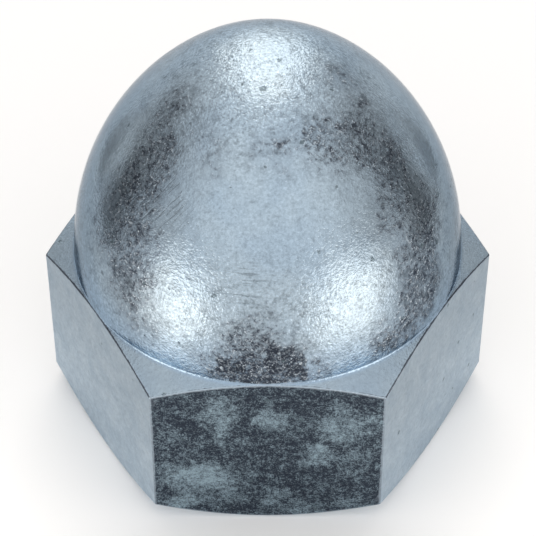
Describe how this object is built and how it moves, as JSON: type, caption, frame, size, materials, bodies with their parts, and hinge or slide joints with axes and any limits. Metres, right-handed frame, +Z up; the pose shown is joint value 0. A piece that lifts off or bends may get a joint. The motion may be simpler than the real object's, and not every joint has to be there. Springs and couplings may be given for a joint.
{
  "type": "cap nut",
  "caption": "Domed cap nut: a chamfered hexagon under a high ogive crown, with a countersunk blind bore for a right-hand metric thread.",
  "frame": {"origin": "centre of the bearing face, on the thread's axis", "axes": "+Z up the thread's axis to the top of the dome, +X to a corner of the hexagon, +Y to the middle of a flat"},
  "size_m": [0.0184, 0.016, 0.0182],
  "materials": {
    "zinc_plated_steel": "bright zinc plating with a blue passivation, satin, mottled with darker patina"
  },
  "bodies": {
    "root": {"cap_nut": "zinc_plated_steel"}
  },
  "joints": []
}
